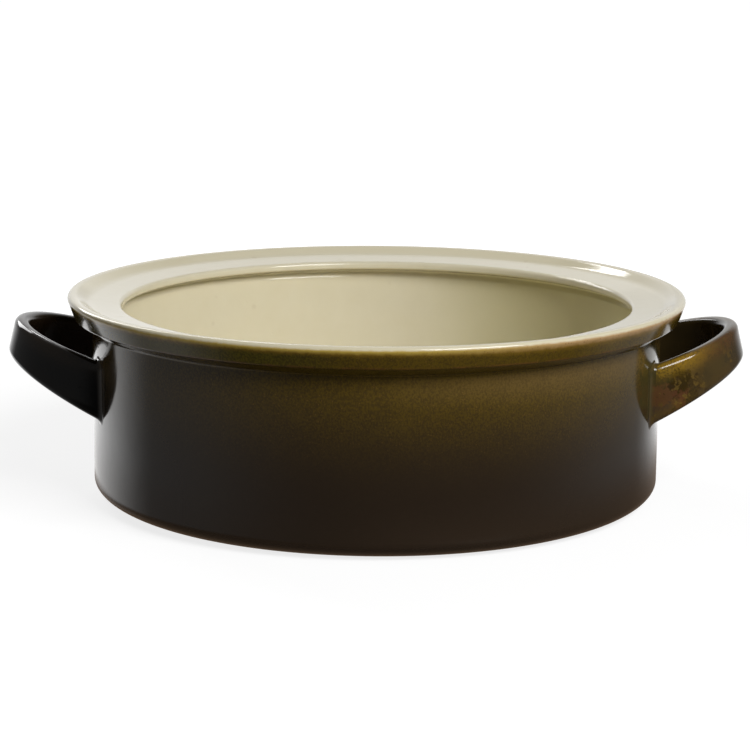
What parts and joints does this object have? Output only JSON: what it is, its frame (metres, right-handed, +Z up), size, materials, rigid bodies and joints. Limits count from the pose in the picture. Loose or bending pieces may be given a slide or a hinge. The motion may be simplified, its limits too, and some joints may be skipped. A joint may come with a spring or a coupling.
{
  "type": "casserole dish",
  "caption": "Round stoneware casserole dish with a wide lid-seat rim, strap handles at the sides, a cream glazed inside and a brown glazed outside.",
  "frame": {"origin": "on the table under the middle of the foot ring", "axes": "+Z up, X through the two handles, front of the dish towards -Y"},
  "size_m": [0.3182, 0.2654, 0.0878],
  "materials": {
    "bare_clay": "unglazed buff stoneware",
    "cream_glaze": "glossy cream glaze",
    "brown_glaze": "semi-gloss dark brown glaze that breaks to olive and ochre at the rim"
  },
  "bodies": {
    "root": {"clay_body": "bare_clay", "cream_liner_glaze": "cream_glaze", "brown_outer_glaze": "brown_glaze", "right_handle_strap": "bare_clay", "right_handle_glaze": "brown_glaze", "right_front_slip_joint": "brown_glaze", "right_rear_slip_joint": "brown_glaze", "left_handle_strap": "bare_clay", "left_handle_glaze": "brown_glaze", "left_front_slip_joint": "brown_glaze", "left_rear_slip_joint": "brown_glaze"}
  },
  "joints": []
}
